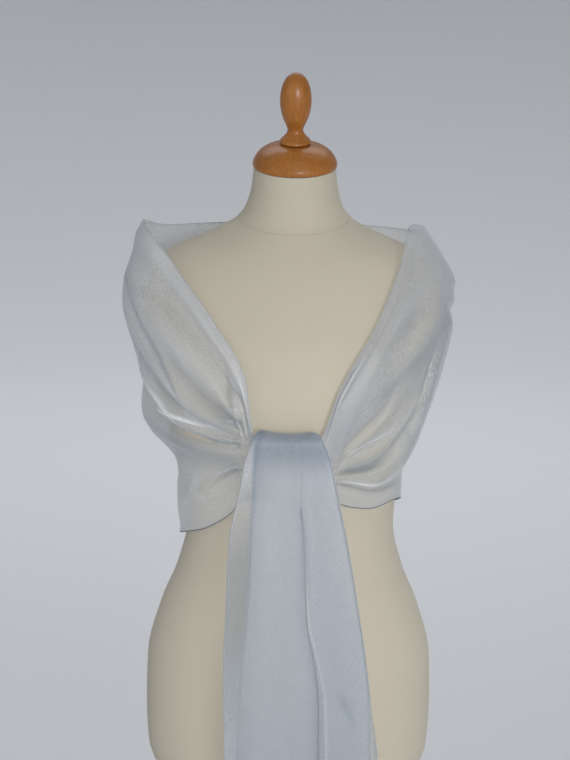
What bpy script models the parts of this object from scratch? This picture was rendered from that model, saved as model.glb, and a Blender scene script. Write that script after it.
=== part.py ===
"""A sheer shawl worn pull-through fashion on a limbless dress form, with its stand.

Metres, +Z up, front towards -Y, the origin on the floor under the middle of the round base.
The shawl is one long rectangle of cloth. It is modelled in the stretches that show: a wing round
each shoulder, the back between them, and the tail that rolls over the wings' gathered ends.
"""

import math

import bmesh
import bpy
import numpy as np

WALL = 0.0016
SEAM_GAP = 0.0003

CREAM_JERSEY = ("cream_jersey", (0.62, 0.58, 0.49), 0.9, 0.0)
BEECH = ("varnished_beech", (0.47, 0.22, 0.07), 0.3, 0.0)
GREY_PAINT = ("grey_paint", (0.27, 0.28, 0.30), 0.45, 0.0)
ORGANZA = ("silver_blue_organza", (0.46, 0.53, 0.60), 0.5, 0.0)


def table(columns, *rows):
    """Rows of numbers, reached by the names of their columns."""
    return dict(zip(columns.split(), np.array(rows, float).T))


def smooth(knots, values, place):
    """A smooth curve through the values at the knots, which never overshoots them."""
    step = np.diff(knots)
    rise = np.diff(values) / step
    slope = np.concatenate([rise[:1], np.zeros(len(rise) - 1), rise[-1:]])
    for k in range(1, len(rise)):
        if rise[k - 1] * rise[k] > 0:
            near = 2 * step[k] + step[k - 1]
            far = step[k] + 2 * step[k - 1]
            slope[k] = (near + far) / (near / rise[k - 1] + far / rise[k])
    place = np.clip(place, knots[0], knots[-1])
    k = np.clip(np.searchsorted(knots, place) - 1, 0, len(step) - 1)
    u = (place - knots[k]) / step[k]
    start = values[k] * (1 + 2 * u) + slope[k] * step[k] * u
    end = values[k + 1] * (3 - 2 * u) - slope[k + 1] * step[k] * (1 - u)
    return start * (1 - u) ** 2 + end * u ** 2


def rounded(knots, values, place):
    """A curve through the values at the knots, as round as their spacing allows."""
    slope = np.gradient(values, knots)
    step = np.diff(knots)
    k = np.clip(np.searchsorted(knots, place) - 1, 0, len(step) - 1)
    u = (place - knots[k]) / step[k]
    start = values[k] * (1 + 2 * u) + slope[k] * step[k] * u
    end = values[k + 1] * (3 - 2 * u) - slope[k + 1] * step[k] * (1 - u)
    return start * (1 - u) ** 2 + end * u ** 2


def material(finish):
    name, colour, roughness, metallic = finish
    if name in bpy.data.materials:
        return bpy.data.materials[name]
    made = bpy.data.materials.new(name)
    made.use_nodes = True
    shader = made.node_tree.nodes["Principled BSDF"]
    shader.inputs["Base Color"].default_value = (*colour, 1.0)
    shader.inputs["Roughness"].default_value = roughness
    shader.inputs["Metallic"].default_value = metallic
    return made


def finished(name, shape, finish):
    """The named object of a bmesh, with its faces out and its own material."""
    bmesh.ops.recalc_face_normals(shape, faces=shape.faces[:])
    mesh = bpy.data.meshes.new(name)
    shape.to_mesh(mesh)
    shape.free()
    mesh.shade_smooth()
    mesh.set_sharp_from_angle(angle=math.radians(50))
    made = bpy.data.objects.new(name, mesh)
    made.data.materials.append(material(finish))
    bpy.context.scene.collection.objects.link(made)
    return made


def grid(columns, rows):
    """A flat grid in the unit square, which stays easy to address by column and row."""
    shape = bmesh.new()
    bmesh.ops.create_grid(shape, x_segments=columns - 1, y_segments=rows - 1, size=0.5)
    for vert in shape.verts:
        vert.co.x = round((vert.co.x + 0.5) * (columns - 1))
        vert.co.y = round((vert.co.y + 0.5) * (rows - 1))
        vert.co.z = 0.0
    return shape


def walled(name, outside, inside, finish):
    """A wall between two grids of points of the same columns and rows."""
    shape = grid(*outside.shape[:2])
    made = bmesh.ops.extrude_face_region(shape, geom=shape.faces[:], use_keep_orig=True)["geom"]
    inner = {part for part in made if isinstance(part, bmesh.types.BMVert)}
    for vert in shape.verts:
        face = inside if vert in inner else outside
        vert.co = face[int(vert.co.x), int(vert.co.y)]
    return finished(name, shape, finish)


def turned(name, outline, finish, segments=24):
    """A solid of revolution about +Z from an outline of (radius, height), on the axis at both ends."""
    shape = bmesh.new()
    verts = [shape.verts.new((radius, 0.0, height)) for radius, height in outline]
    edges = [shape.edges.new(pair) for pair in zip(verts, verts[1:])]
    bmesh.ops.spin(shape, geom=verts + edges, cent=(0, 0, 0), axis=(0, 0, 1), angle=math.tau,
                   steps=segments, use_merge=True)
    bmesh.ops.remove_doubles(shape, verts=shape.verts[:], dist=1e-5)
    return finished(name, shape, finish)


# The torso and neck are one loft of oval rings. Lean moves a ring's middle forward, and tilt, in
# degrees, tips the ring forward about its middle, so that the neck ends square to its cap.
FORM = table(
    "height side front back lean tilt",
    (0.715, 0.1700, 0.098, 0.116, 0.000, 0.0),
    (0.735, 0.1755, 0.104, 0.121, 0.000, 0.0),
    (0.786, 0.1780, 0.106, 0.124, 0.000, 0.0),
    (0.853, 0.1760, 0.106, 0.122, 0.000, 0.0),
    (0.920, 0.1590, 0.102, 0.108, 0.000, 0.0),
    (0.970, 0.1385, 0.097, 0.094, 0.000, 0.0),
    (1.024, 0.1265, 0.094, 0.086, 0.000, 0.0),
    (1.075, 0.1305, 0.103, 0.091, 0.000, 0.0),
    (1.138, 0.1490, 0.121, 0.101, 0.000, 0.0),
    (1.200, 0.1640, 0.130, 0.110, 0.000, 0.0),
    (1.249, 0.1725, 0.126, 0.113, 0.000, 0.0),
    (1.286, 0.1770, 0.113, 0.113, 0.000, 0.0),
    (1.322, 0.1725, 0.098, 0.109, 0.000, 0.0),
    (1.345, 0.1600, 0.087, 0.101, 0.000, 0.0),
    (1.360, 0.1440, 0.079, 0.094, 0.000, 1.0),
    (1.373, 0.1140, 0.072, 0.087, 0.001, 3.0),
    (1.384, 0.0880, 0.066, 0.079, 0.002, 5.0),
    (1.396, 0.0680, 0.060, 0.068, 0.003, 8.0),
    (1.412, 0.0570, 0.054, 0.058, 0.005, 10.0),
    (1.435, 0.0505, 0.050, 0.051, 0.009, 12.0),
    (1.458, 0.0480, 0.048, 0.048, 0.013, 12.0),
)


def form_point(height, turn):
    """A point of the form at a turn in radians from its front, towards the left of the picture."""
    side, front, back, lean, tilt = (smooth(FORM["height"], FORM[name], height)
                                     for name in "side front back lean tilt".split())
    depth = front if math.cos(turn) > 0 else back
    along = -depth * math.cos(turn)
    return -side * math.sin(turn), along - lean, height + along * math.tan(math.radians(tilt))


def form_torso(segments=28, steps_per_row=1.5):
    rows = np.arange(len(FORM["height"]))
    heights = np.interp(np.arange(0, rows[-1] + 1e-6, 1 / steps_per_row), rows, FORM["height"])
    turns = np.linspace(0, math.tau, segments + 1)
    shape = grid(len(turns), len(heights))
    for vert in shape.verts:
        vert.co = form_point(heights[int(vert.co.y)], turns[int(vert.co.x)])
    bmesh.ops.remove_doubles(shape, verts=shape.verts[:], dist=1e-5)
    bmesh.ops.holes_fill(shape, edges=[edge for edge in shape.edges if edge.is_boundary], sides=0)
    return finished("form_torso", shape, CREAM_JERSEY)


# The neck cap and its finial are turned wood, standing square on the tilted top of the neck.
CAP_RADIUS = 0.0495
CAP_OUTLINE = ((0.0, 0.0), (0.0485, 0.0), (CAP_RADIUS, 0.0012), (CAP_RADIUS, 0.0065), (0.0482, 0.0095),
               (0.0445, 0.0155), (0.0385, 0.0205), (0.0300, 0.0248), (0.0205, 0.0272), (0.0, 0.0272))
FINIAL_OUTLINE = ((0.0, 0.0), (0.0165, 0.0), (0.0180, 0.0018), (0.0180, 0.0050), (0.0160, 0.0080),
                  (0.0118, 0.0102), (0.0090, 0.0135), (0.0088, 0.0165), (0.0104, 0.0200), (0.0140, 0.0270),
                  (0.0172, 0.0370), (0.0186, 0.0480), (0.0180, 0.0590), (0.0155, 0.0690), (0.0115, 0.0765),
                  (0.0060, 0.0812), (0.0, 0.0826))


def neck_fittings():
    tilt = math.radians(FORM["tilt"][-1])
    lift = SEAM_GAP
    for name, outline in (("neck_cap", CAP_OUTLINE), ("cap_finial", FINIAL_OUTLINE)):
        fitting = turned(name, outline, BEECH)
        fitting.location = (0.0, -FORM["lean"][-1] - lift * math.sin(tilt),
                            FORM["height"][-1] + lift * math.cos(tilt))
        fitting.rotation_euler = (tilt, 0.0, 0.0)
        lift += outline[-1][1] + SEAM_GAP


# The stand is a heavy round base with a short boss, and a pole with a flange under the torso.
BASE_OUTLINE = ((0.0, 0.0), (0.1620, 0.0), (0.1650, 0.0030), (0.1650, 0.0110), (0.1600, 0.0160),
                (0.0320, 0.0200), (0.0240, 0.0240), (0.0220, 0.0420), (0.0200, 0.0440), (0.0, 0.0440))
POLE_RADIUS = 0.0125
COLLAR_RADIUS = 0.0185
COLLAR_DEPTH = 0.012
FLANGE_RADIUS = 0.045
FLANGE_DEPTH = 0.008


def stand():
    turned("stand_base", BASE_OUTLINE, GREY_PAINT, segments=36)
    foot = BASE_OUTLINE[-1][1] + SEAM_GAP
    top = FORM["height"][0] - SEAM_GAP
    under = top - FLANGE_DEPTH
    pole = ((0.0, foot), (POLE_RADIUS, foot), (POLE_RADIUS, under - COLLAR_DEPTH),
            (COLLAR_RADIUS, under - 0.002), (FLANGE_RADIUS, under), (FLANGE_RADIUS, top), (0.0, top))
    turned("stand_pole", pole, GREY_PAINT)


# The cloth lies round a tube that is the form's own below the shoulders and goes on up above them.
TUBE = table(
    "height side front back",
    *[(FORM["height"][k], FORM["side"][k], FORM["front"][k], FORM["back"][k]) for k in range(5, 13)],
    (1.360, 0.1550, 0.086, 0.100),
    (1.400, 0.1300, 0.078, 0.088),
)

# A station is a curve across the cloth from its upper edge to its hem. Turns are degrees from the
# front, heights are metres, and bow below 1 swings the upper part of the curve to the hem's turn.
STATIONS = {
    "left": table(
        "top_turn top hem_turn hem bow",
        (3.0, 1.156, 6.0, 1.083, 1.0),
        (14.6, 1.160, 22.0, 1.079, 0.4),
        (17.5, 1.228, 33.0, 1.055, 1.0),
        (30.9, 1.295, 50.0, 1.032, 1.0),
        (50.0, 1.342, 66.0, 1.021, 1.0),
        (88.0, 1.392, 88.0, 1.008, 1.0),
        (125.0, 1.379, 122.0, 0.995, 1.0),
        (180.0, 1.381, 180.0, 0.985, 1.0),
    ),
    "right": table(
        "top_turn top hem_turn hem bow",
        (2.0, 1.156, 5.0, 1.083, 1.0),
        (10.9, 1.160, 20.0, 1.078, 0.5),
        (18.0, 1.218, 31.0, 1.069, 1.0),
        (28.3, 1.274, 46.0, 1.063, 1.0),
        (43.0, 1.340, 62.0, 1.066, 1.0),
        (72.0, 1.393, 86.0, 1.056, 1.0),
        (125.0, 1.377, 122.0, 1.032, 1.0),
        (180.0, 1.381, 180.0, 0.985, 1.0),
    ),
}

# Each row is a line of the cloth that runs round the body from the front gather to the middle of
# the back, a crest or a trough between the upper edge and the hem. Down says how far down the
# cloth it lies at a station, as a share of the way. Off says how far it stands off the tube, in mm.
FOLDS = {
    "left": table(
        "down1 down2 down3 down4 down5 down6 down7 off1 off2 off3 off4 off5 off6 off7",
        (0.000, 0.000, 0.000, 0.000, 0.000, 0.00, 0.00, 10.5, 9, 8, 10, 44, 30, 6),
        (0.010, 0.055, 0.045, 0.035, 0.030, 0.05, 0.06, 11.5, 13, 12, 13, 43, 31, 7),
        (0.025, 0.170, 0.140, 0.120, 0.080, 0.12, 0.12, 10.5, 7, 7, 9, 36, 28, 2.4),
        (0.045, 0.260, 0.218, 0.197, 0.120, 0.18, 0.19, 11.8, 15, 18, 19, 32, 28, 10),
        (0.065, 0.310, 0.327, 0.280, 0.170, 0.24, 0.26, 11.2, 12, 15, 18, 30, 26, 8),
        (0.085, 0.350, 0.410, 0.360, 0.230, 0.30, 0.34, 11.8, 14, 18, 20, 28, 26, 15),
        (0.107, 0.391, 0.455, 0.440, 0.310, 0.37, 0.42, 10.8, 9, 11, 13, 24, 23, 11),
        (0.132, 0.418, 0.505, 0.520, 0.420, 0.45, 0.50, 12.5, 16, 19, 20, 16, 20, 19),
        (0.180, 0.460, 0.545, 0.565, 0.480, 0.52, 0.58, 9.5, 8, 7, 7, 14, 14, 14),
        (0.280, 0.510, 0.590, 0.615, 0.610, 0.62, 0.66, 12.0, 13, 14, 17, 26, 26, 22),
        (0.380, 0.565, 0.670, 0.680, 0.760, 0.72, 0.74, 9.5, 8, 7, 6, 2.1, 12, 19),
        (0.480, 0.659, 0.751, 0.804, 0.840, 0.81, 0.83, 8.5, 7, 8, 8, 9, 14, 23),
        (0.760, 0.826, 0.836, 0.880, 0.920, 0.91, 0.92, 10.5, 11, 12, 12, 11, 16, 28),
        (1.000, 1.000, 1.000, 1.000, 1.000, 1.00, 1.00, 8.5, 6, 6, 6, 7, 12, 27),
    ),
    "right": table(
        "down1 down2 down3 down4 down5 down6 down7 off1 off2 off3 off4 off5 off6 off7",
        (0.000, 0.000, 0.000, 0.000, 0.000, 0.00, 0.00, 10.5, 9, 9, 9, 12, 22, 6),
        (0.020, 0.050, 0.035, 0.035, 0.030, 0.05, 0.06, 11.5, 13, 13, 12, 15, 22, 7),
        (0.050, 0.099, 0.080, 0.065, 0.060, 0.10, 0.12, 10.5, 10, 10, 10, 16, 21, 2.4),
        (0.158, 0.269, 0.170, 0.110, 0.100, 0.16, 0.19, 12.0, 13, 13, 13, 18, 22, 10),
        (0.404, 0.450, 0.420, 0.220, 0.140, 0.21, 0.26, 11.5, 12, 13, 13, 20, 22, 8),
        (0.444, 0.500, 0.460, 0.370, 0.170, 0.26, 0.34, 12.3, 14, 15, 16, 20, 23, 15),
        (0.478, 0.547, 0.554, 0.469, 0.200, 0.31, 0.42, 11.3, 11, 11, 13, 17, 20, 11),
        (0.515, 0.606, 0.621, 0.550, 0.230, 0.37, 0.50, 12.0, 13, 14, 15, 14, 19, 19),
        (0.553, 0.668, 0.698, 0.643, 0.270, 0.43, 0.58, 10.0, 7, 7, 7, 9, 14, 14),
        (0.605, 0.715, 0.755, 0.740, 0.370, 0.54, 0.66, 12.5, 15, 17, 18, 16, 20, 22),
        (0.652, 0.775, 0.825, 0.840, 0.800, 0.72, 0.74, 12.5, 15, 15, 12, 6, 14, 19),
        (0.737, 0.846, 0.880, 0.890, 0.880, 0.83, 0.83, 8.5, 7, 6, 5, 2.1, 12, 23),
        (0.874, 0.915, 0.930, 0.945, 0.940, 0.92, 0.92, 10.0, 9, 9, 8, 5, 13, 28),
        (1.000, 1.000, 1.000, 1.000, 1.000, 1.00, 1.00, 8.5, 8, 8, 8, 7, 12, 27),
    ),
}
BACK_STATION = 7
HIDDEN_END_OFF = 13.0


def across_the_cloth(side, station, down, wall=0.0):
    """Points of one wing along a curve across the cloth, at places from 0, its top, to 1, its hem."""
    stations, folds = STATIONS[side], FOLDS[side]
    number = np.arange(BACK_STATION + 1)
    top_turn, top, hem_turn, hem, bow = (smooth(number, column, station) for column in stations.values())
    shares, offs = [], []
    for line in range(len(folds["down1"])):
        share = [folds[f"down{k}"][line] for k in number[1:]]
        off = [folds[f"off{k}"][line] for k in number[1:]]
        shares.append(smooth(number, np.array([share[0], *share]), station))
        offs.append(smooth(number, np.array([HIDDEN_END_OFF, *off]), station))
    lines = np.arange(len(shares))
    share = smooth(lines, np.array(shares), down * lines[-1])
    off = smooth(lines, np.array(offs), down * lines[-1]) / 1000 - wall
    height = top + (hem - top) * share
    turn = np.radians(top_turn + (hem_turn - top_turn) * np.clip(share, 0, 1) ** bow)
    reach, front, back = (smooth(TUBE["height"], TUBE[name], height) + off
                          for name in ("side", "front", "back"))
    depth = np.where(np.cos(turn) > 0, front, back)
    sign = -1 if side == "left" else 1
    return np.stack([sign * reach * np.sin(turn), -depth * np.cos(turn), height], axis=-1)


def wrap_points(stations, down, wall=0.0):
    """A grid of points of the cloth, a column for each station.

    Stations count from the left front end through the back, 7, to the right front end, 14.
    """
    columns = [across_the_cloth("left", s, down, wall) if s <= BACK_STATION
               else across_the_cloth("right", 2 * BACK_STATION - s, down, wall) for s in stations]
    return np.array(columns)


def stepped(start, *stops):
    """Places from a start through stops, each stop given with its number of even steps."""
    places = [start]
    for stop, count in stops:
        places.extend(np.linspace(places[-1], stop, count + 1)[1:])
    return np.array(places)


# The seams between the wings and the back lie just before and after the shoulder blades, where a
# station is about this long.
WING_END = 5.8
STATION_LENGTH = 0.075
ROWS_PER_FOLD = 2


def wrap():
    gap = SEAM_GAP / STATION_LENGTH
    down = np.linspace(0, 1, ROWS_PER_FOLD * (len(FOLDS["left"]["down1"]) - 1) + 1)
    wing = stepped(0.0, (1, 2), (2, 3), (3, 3), (4, 4), (5, 5), (WING_END, 3))
    back = stepped(WING_END + gap, (BACK_STATION, 5), (2 * BACK_STATION - WING_END - gap, 5))
    for name, stations in (("shawl_wing_left", wing), ("shawl_back", back),
                           ("shawl_wing_right", 2 * BACK_STATION - wing[::-1])):
        walled(name, wrap_points(stations, down), wrap_points(stations, down, WALL), ORGANZA)


# The tail's front, from the photograph: its edges, the trough beside its left edge and the crease
# near its middle, across at each height, and how far the layer behind shows past its right edge.
# Loose says how much further apart its layers hang than in the roll.
TAIL = table(
    "height left trough crease right peek loose",
    (0.585, -0.0750, -0.0620, 0.0430, 0.1010, 0.0130, 2.2),
    (0.775, -0.0743, -0.0603, 0.0400, 0.0968, 0.0090, 2.0),
    (0.850, -0.0757, -0.0574, 0.0386, 0.0935, 0.0020, 1.9),
    (0.900, -0.0760, -0.0543, 0.0290, 0.0880, 0.0010, 1.8),
    (0.950, -0.0735, -0.0499, 0.0189, 0.0802, 0.0010, 1.7),
    (1.000, -0.0718, -0.0473, 0.0159, 0.0718, 0.0010, 1.6),
    (1.050, -0.0691, -0.0462, 0.0136, 0.0621, 0.0015, 1.5),
    (1.100, -0.0590, -0.0434, 0.0091, 0.0517, 0.0010, 1.3),
    (1.150, -0.0505, -0.0421, 0.0082, 0.0405, 0.0005, 1.1),
    (1.168, -0.0400, -0.0350, 0.0000, 0.0290, 0.0000, 1.0),
)
# Across one layer of the tail, from the right end of the back layer round the left fold, over the
# front and round the right fold to the end of the inner flap: what each point is measured from,
# how far to the right of that in mm, and how far behind the middle of the layers, in mm.
TAIL_LAYERS = (
    ("right", 0.0, 2.6), ("crease", 6.0, 2.9), ("crease", -12.0, 2.4), ("trough", 12.0, 2.9),
    ("trough", -1.0, 2.5), ("left", 3.4, 2.3), ("left", 1.0, 1.5), ("left", 0.0, 0.0), ("left", 0.9, -1.6),
    ("left", 3.0, -2.5), ("left", 5.5, -2.2), ("trough", 0.0, -0.9), ("trough", 4.0, -1.9),
    ("trough", 14.0, -3.2), ("middle", 0.0, -3.3), ("crease", -8.0, -2.5), ("crease", -2.2, -1.3),
    ("crease", 0.6, -1.5), ("crease", 3.5, -2.9), ("crease", 12.0, -3.3), ("right", -12.0, -3.0),
    ("right", -4.0, -2.6), ("right", -1.0, -1.9), ("right", 0.0, -0.9), ("right", -1.0, 0.1),
    ("right", -4.0, 0.5), ("right", -12.0, 0.4), ("crease", 6.0, 0.3),
)
ROLL_RADIUS = 0.0115
HALF_TURN = math.pi * ROLL_RADIUS
ROLL_CENTRE = (-0.1400, 1.1575)
ROLL_HALF_WIDTH = 0.034
ROLL_SAG = 0.004
INNER_LEG = 0.010
INNER_NARROWING = 0.28
NARROWING_FROM = 0.25
TAIL_WALL = 0.0011
TAIL_COLUMNS = 42
GATHERED_LENGTH = 0.2


def tail_path(length):
    """Depth, height and which way is back, at a length up the front from the roll, or over it."""
    y, z = ROLL_CENTRE
    if length < 0:
        return y - ROLL_RADIUS, z + length, 1.0, 0.0
    if length < HALF_TURN:
        cos, sin = math.cos(length / ROLL_RADIUS), math.sin(length / ROLL_RADIUS)
        return y - ROLL_RADIUS * cos, z + ROLL_RADIUS * sin, cos, -sin
    return y + ROLL_RADIUS, z + HALF_TURN - length, -1.0, 0.0


def tail_section(length):
    """Points across all the layers of the tail at a length along its path."""
    depth, height, back_y, back_z = tail_path(length)
    at = max(height, TAIL["height"][0]) if length < 0 else TAIL["height"][-1]
    row = {name: smooth(TAIL["height"], column, at) for name, column in TAIL.items()}
    row["middle"] = (row["trough"] + row["crease"]) / 2
    across = np.array([row[name] + right / 1000 for name, right, _ in TAIL_LAYERS])
    across[0] += row["peek"]
    across *= 1 - INNER_NARROWING * np.clip(length / HALF_TURN - NARROWING_FROM, 0, 1)
    behind = np.array([back for _, _, back in TAIL_LAYERS]) / 1000 * row["loose"]
    way = np.concatenate([[0], np.cumsum(np.hypot(np.diff(across), np.diff(behind)))])
    place = np.interp(np.linspace(0, len(way) - 1, TAIL_COLUMNS), np.arange(len(way)), way)
    x, back = rounded(way, across, place), rounded(way, behind, place)
    sag = ROLL_SAG * (1 - np.clip(x / ROLL_HALF_WIDTH, -1, 1) ** 2) * max(0.0, -back_z)
    return np.stack([x, depth + back * back_y, height + back * back_z - sag], axis=-1)


def tail():
    drop = ROLL_CENTRE[1] - TAIL["height"][0]
    lengths = stepped(-drop, (-GATHERED_LENGTH, 7), (0.0, 5), (HALF_TURN, 7), (HALF_TURN + INNER_LEG, 1))
    middle = np.array([tail_section(length) for length in lengths])
    shape = grid(*middle.shape[:2])
    for vert in shape.verts:
        vert.co = middle[int(vert.co.x), int(vert.co.y)]
    made = finished("shawl_tail", shape, ORGANZA)
    solid = made.modifiers.new("wall", "SOLIDIFY")
    solid.thickness = TAIL_WALL
    solid.offset = 0.0


def build():
    for made in list(bpy.data.objects):
        bpy.data.objects.remove(made, do_unlink=True)
    form_torso()
    neck_fittings()
    stand()
    wrap()
    tail()


build()
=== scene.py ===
"""A sheer silver-blue shawl worn pull-through fashion on a limbless dress form, dressed for rendering."""

import math

import bmesh
import bpy
import numpy as np
from mathutils import Matrix, Vector


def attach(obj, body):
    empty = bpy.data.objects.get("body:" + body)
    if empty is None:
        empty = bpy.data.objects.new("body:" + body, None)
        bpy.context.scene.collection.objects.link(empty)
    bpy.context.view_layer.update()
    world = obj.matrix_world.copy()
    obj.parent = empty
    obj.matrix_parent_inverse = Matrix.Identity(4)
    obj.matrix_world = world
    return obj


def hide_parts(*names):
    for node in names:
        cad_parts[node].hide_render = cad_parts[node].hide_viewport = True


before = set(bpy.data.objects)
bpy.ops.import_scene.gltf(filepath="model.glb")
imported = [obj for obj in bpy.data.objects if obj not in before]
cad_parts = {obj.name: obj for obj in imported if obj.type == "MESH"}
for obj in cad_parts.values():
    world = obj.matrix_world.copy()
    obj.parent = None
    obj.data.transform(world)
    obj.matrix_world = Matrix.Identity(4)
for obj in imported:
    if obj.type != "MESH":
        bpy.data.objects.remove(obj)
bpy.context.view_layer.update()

# The camera stands a little higher than the finial's top, looks down at the shawl and is held very
# slightly tipped.
CAMERA_DISTANCE = 1.9
CAMERA_AIM = Vector((-0.0085, 0.0, 1.20))
CAMERA_DOWN = math.radians(12.0)
CAMERA_TIP = math.radians(0.7)
CAMERA_LENS = 74.4
FILM_HEIGHT = 36.0

camera = bpy.data.objects.new("camera", bpy.data.cameras.new("camera"))
bpy.context.scene.collection.objects.link(camera)
bpy.context.scene.camera = camera
camera.data.sensor_fit = "VERTICAL"
camera.data.sensor_height = FILM_HEIGHT
camera.data.lens = CAMERA_LENS
backwards = Vector((0.0, -math.cos(CAMERA_DOWN), math.sin(CAMERA_DOWN)))
upwards = Vector((0.0, math.sin(CAMERA_DOWN), math.cos(CAMERA_DOWN)))
camera_right = Vector((1, 0, 0)) * math.cos(CAMERA_TIP) + upwards * math.sin(CAMERA_TIP)
turned_camera = Matrix((camera_right, backwards.cross(camera_right), backwards)).transposed().to_4x4()
camera.matrix_world = Matrix.Translation(CAMERA_AIM + backwards * CAMERA_DISTANCE) @ turned_camera

# A pale round floor that curves up into a wall far off, in a pale room. The daylight comes from
# behind the camera, a little to its right, with a softer fill from the left and some light from a
# window on the right. Two wide lights overhead wash the floor behind the form and in front of it.
FLOOR_RADIUS = 6.0
CURVE_RADIUS = 3.0
WALL_TOP = 5.5
SAME_PLACE = 1e-5
COVE_PROFILE = [(0.0, 0.0), (FLOOR_RADIUS, 0.0)]
COVE_PROFILE += [(FLOOR_RADIUS + CURVE_RADIUS * math.sin(turn), CURVE_RADIUS - CURVE_RADIUS * math.cos(turn))
                 for turn in np.linspace(0.1, math.pi / 2, 12)]
COVE_PROFILE.append((FLOOR_RADIUS + CURVE_RADIUS, WALL_TOP))

cove_shape = bmesh.new()
profile = [cove_shape.verts.new((0.0, radius, height)) for radius, height in COVE_PROFILE]
edges = [cove_shape.edges.new(pair) for pair in zip(profile, profile[1:])]
bmesh.ops.spin(cove_shape, geom=profile + edges, cent=(0, 0, 0), axis=(0, 0, -1), angle=math.tau, steps=96,
               use_merge=True)
bmesh.ops.remove_doubles(cove_shape, verts=cove_shape.verts[:], dist=SAME_PLACE)
backdrop = bpy.data.objects.new("backdrop", bpy.data.meshes.new("backdrop"))
cove_shape.to_mesh(backdrop.data)
cove_shape.free()
backdrop.data.shade_smooth()
bpy.context.scene.collection.objects.link(backdrop)
pale_paint = bpy.data.materials.new("pale_paint")
pale_paint.use_nodes = True
pale_paint.node_tree.nodes["Principled BSDF"].inputs["Base Color"].default_value = (0.80, 0.815, 0.84, 1)
pale_paint.node_tree.nodes["Principled BSDF"].inputs["Roughness"].default_value = 0.9
backdrop.data.materials.append(pale_paint)

for name, place, aim, width, height, power, spread, colour in (
        ("daylight", (0.68, -2.5, 1.5), (0.0, 0.0, 0.90), 1.0, 0.8, 5.2, 66, (1.0, 0.99, 0.97)),
        ("left_fill", (-2.2, -1.7, 1.9), (0.0, 0.0, 1.26), 1.8, 1.6, 2.0, 92, (0.98, 0.99, 1.0)),
        ("window", (2.4, -1.6, 0.9), (0.0, 0.0, 0.85), 1.2, 1.4, 0.8, 120, (0.97, 0.99, 1.0)),
        ("floor_wash", (0.0, 4.2, 6.0), (0.0, 4.2, 0.0), 9.0, 4.0, 128.0, 126, (0.98, 0.99, 1.0)),
        ("front_wash", (0.0, -5.0, 6.0), (0.0, -5.0, 0.0), 9.0, 4.0, 60.0, 100, (0.98, 0.99, 1.0))):
    light = bpy.data.objects.new(name, bpy.data.lights.new(name, "AREA"))
    light.data.shape = "RECTANGLE"
    light.data.size, light.data.size_y = width, height
    light.data.energy = power
    light.data.spread = math.radians(spread)
    light.data.color = colour
    light.location = place
    light.rotation_euler = (Vector(aim) - Vector(place)).to_track_quat("-Z", "Y").to_euler()
    bpy.context.scene.collection.objects.link(light)
room = bpy.data.worlds.new("room")
room.use_nodes = True
room.node_tree.nodes["Background"].inputs["Color"].default_value = (0.60, 0.61, 0.63, 1)
room.node_tree.nodes["Background"].inputs["Strength"].default_value = 0.36
bpy.context.scene.world = room
bpy.context.scene.view_settings.view_transform = "Standard"


# The torso and neck are a padded shell, one loft of oval rings, under cream cotton jersey that is
# stretched smooth over it. Lean moves a ring's middle forward and tilt, in degrees, tips the ring.
def table(columns, *rows):
    """Rows of numbers, reached by the names of their columns."""
    return dict(zip(columns.split(), np.array(rows, float).T))


FORM = table(
    "height side front back lean tilt",
    (0.715, 0.1700, 0.098, 0.116, 0.000, 0.0),
    (0.735, 0.1755, 0.104, 0.121, 0.000, 0.0),
    (0.786, 0.1780, 0.106, 0.124, 0.000, 0.0),
    (0.853, 0.1760, 0.106, 0.122, 0.000, 0.0),
    (0.920, 0.1590, 0.102, 0.108, 0.000, 0.0),
    (0.970, 0.1385, 0.097, 0.094, 0.000, 0.0),
    (1.024, 0.1265, 0.094, 0.086, 0.000, 0.0),
    (1.075, 0.1305, 0.103, 0.091, 0.000, 0.0),
    (1.138, 0.1490, 0.121, 0.101, 0.000, 0.0),
    (1.200, 0.1640, 0.130, 0.110, 0.000, 0.0),
    (1.249, 0.1725, 0.126, 0.113, 0.000, 0.0),
    (1.286, 0.1770, 0.113, 0.113, 0.000, 0.0),
    (1.322, 0.1725, 0.098, 0.109, 0.000, 0.0),
    (1.345, 0.1600, 0.087, 0.101, 0.000, 0.0),
    (1.360, 0.1440, 0.079, 0.094, 0.000, 1.0),
    (1.373, 0.1140, 0.072, 0.087, 0.001, 3.0),
    (1.384, 0.0880, 0.066, 0.079, 0.002, 5.0),
    (1.396, 0.0680, 0.060, 0.068, 0.003, 8.0),
    (1.412, 0.0570, 0.054, 0.058, 0.005, 10.0),
    (1.435, 0.0505, 0.050, 0.051, 0.009, 12.0),
    (1.458, 0.0480, 0.048, 0.048, 0.013, 12.0),
)


def curve_through(knots, values, slopes, place):
    """The curve through the values at the knots that has the given slope at each."""
    step = np.diff(knots)
    knot = np.clip(np.searchsorted(knots, place) - 1, 0, len(step) - 1)
    share = (place - knots[knot]) / step[knot]
    start = values[knot] * (1 + 2 * share) + slopes[knot] * step[knot] * share
    end = values[knot + 1] * (3 - 2 * share) - slopes[knot + 1] * step[knot] * (1 - share)
    return start * (1 - share) ** 2 + end * share ** 2


def smooth(knots, values, place):
    """A smooth curve through the values at the knots, which never overshoots them."""
    step = np.diff(knots)
    rise = np.diff(values) / step
    slopes = np.concatenate([rise[:1], np.zeros(len(rise) - 1), rise[-1:]])
    for knot in range(1, len(rise)):
        if rise[knot - 1] * rise[knot] > 0:
            near = 2 * step[knot] + step[knot - 1]
            far = step[knot] + 2 * step[knot - 1]
            slopes[knot] = (near + far) / (near / rise[knot - 1] + far / rise[knot])
    return curve_through(knots, values, slopes, np.clip(place, knots[0], knots[-1]))


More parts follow.
